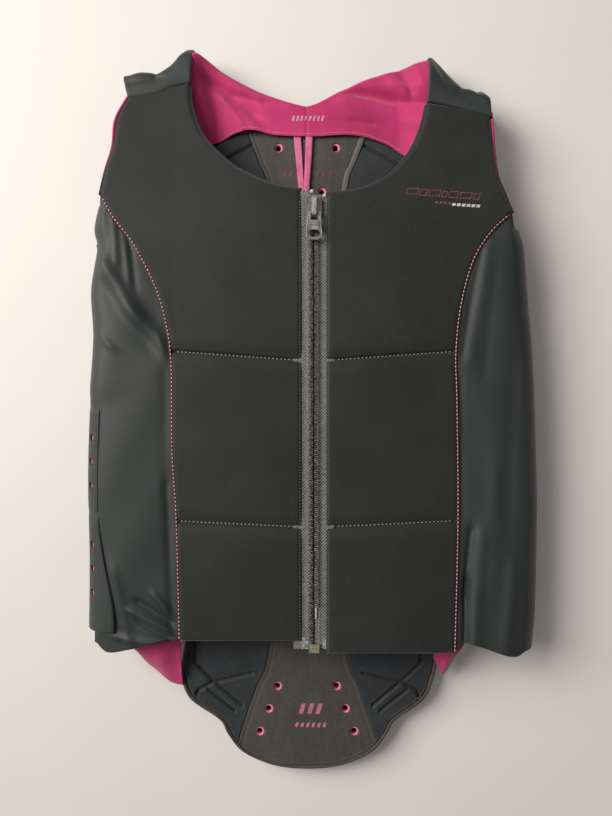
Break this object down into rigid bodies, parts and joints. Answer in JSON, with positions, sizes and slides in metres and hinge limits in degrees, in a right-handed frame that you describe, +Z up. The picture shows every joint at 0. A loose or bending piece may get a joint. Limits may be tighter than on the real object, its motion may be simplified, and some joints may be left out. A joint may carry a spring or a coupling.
{
  "type": "back protector vest",
  "caption": "Zip-front body protector vest with a padded back plate, curled rib wings, sewn front pads and stretch side panels, lying closed on its back.",
  "frame": {"origin": "centre of the vest's footprint, on the surface that its back lies on", "axes": "+X to the viewer's right with the zip facing up, +Y from the tail to the neck, +Z up out of the front"},
  "size_m": [0.442, 0.7219, 0.0662],
  "materials": {
    "front_knit": "fine matte knit bonded to foam",
    "stretch_cloth": "smooth stretch cloth with a soft sheen",
    "pink_cloth": "fine magenta lining cloth",
    "pink_ribbon": "narrow magenta ribbon",
    "pink_foam": "thin magenta foam",
    "soft_foam": "closed-cell foam",
    "spine_grey": "pressed grey laminate",
    "cell_foam": "embossed blue-black foam",
    "binding": "folded grey-brown tape",
    "zip_tape": "woven twill tape",
    "zip_coil": "dark moulded coil",
    "clear_film": "clear reinforcing film",
    "brass": "dull plated metal",
    "silver_metal": "silver plated die casting",
    "grey_metal": "dark lacquered metal"
  },
  "bodies": {
    "back": {"armhole_binding_left": "pink_cloth", "armhole_binding_right": "pink_cloth", "back_yoke": "stretch_cloth", "cell_pad_left": "cell_foam", "cell_pad_right": "cell_foam", "core_foam": "soft_foam", "hanger_loop": "pink_ribbon", "inner_pink_layer": "pink_foam", "inner_spine_panel": "spine_grey", "lining_gusset_left": "pink_cloth", "lining_gusset_right": "pink_cloth", "neck_facing": "pink_cloth", "outer_back_shell": "stretch_cloth", "outer_pink_layer": "pink_foam", "shoulder_yoke_left": "stretch_cloth", "shoulder_yoke_right": "stretch_cloth", "side_lining_left": "pink_cloth", "side_lining_right": "pink_cloth", "side_panel_left": "stretch_cloth", "side_panel_right": "stretch_cloth", "strap_lining_left": "pink_cloth", "strap_lining_right": "pink_cloth", "strap_pad_left": "soft_foam", "strap_pad_right": "soft_foam", "strap_shell_left": "front_knit", "strap_shell_right": "front_knit", "tail_binding": "binding", "wing_foam_left": "soft_foam", "wing_foam_right": "soft_foam", "wing_lining_left": "pink_cloth", "wing_lining_right": "pink_cloth", "wing_pink_layer_left": "pink_foam", "wing_pink_layer_right": "pink_foam", "wing_shell_left": "stretch_cloth", "wing_shell_right": "stretch_cloth"},
    "front_left": {"belly_pad_left": "soft_foam", "chest_pad_left": "soft_foam", "end_film_left": "clear_film", "front_lining_left": "pink_cloth", "front_shell_left": "front_knit", "neck_binding_left": "binding", "retaining_box": "brass", "rib_pad_left": "soft_foam", "top_stop_left": "zip_coil", "zip_coil_left": "zip_coil", "zip_tape_left": "zip_tape"},
    "front_right": {"belly_pad_right": "soft_foam", "chest_pad_right": "soft_foam", "end_film_right": "clear_film", "front_lining_right": "pink_cloth", "front_shell_right": "front_knit", "insertion_pin": "zip_coil", "neck_binding_right": "binding", "rib_pad_right": "soft_foam", "top_stop_right": "zip_coil", "zip_coil_right": "zip_coil", "zip_tape_right": "zip_tape"},
    "slider": {"slider_body": "silver_metal", "slider_bridge": "silver_metal"},
    "pull": {"pull_tab": "grey_metal"}
  },
  "joints": [
    {"name": "front_left_open", "type": "hinge", "parent": "back", "child": "front_left", "pos_m": [-0.125, 0, 0.061], "axis": [0, -1, 0], "range_deg": [0, 155]},
    {"name": "front_right_open", "type": "hinge", "parent": "back", "child": "front_right", "pos_m": [0.125, 0, 0.061], "axis": [0, 1, 0], "range_deg": [0, 155]},
    {"name": "slider_travel", "type": "slide", "parent": "front_left", "child": "slider", "axis": [0, -1, 0], "range_m": [0, 0.4045]},
    {"name": "pull_tab_swing", "type": "hinge", "parent": "slider", "child": "pull", "pos_m": [0, 0.1925, 0.0637], "axis": [-1, 0, 0], "range_deg": [0, 140]}
  ]
}
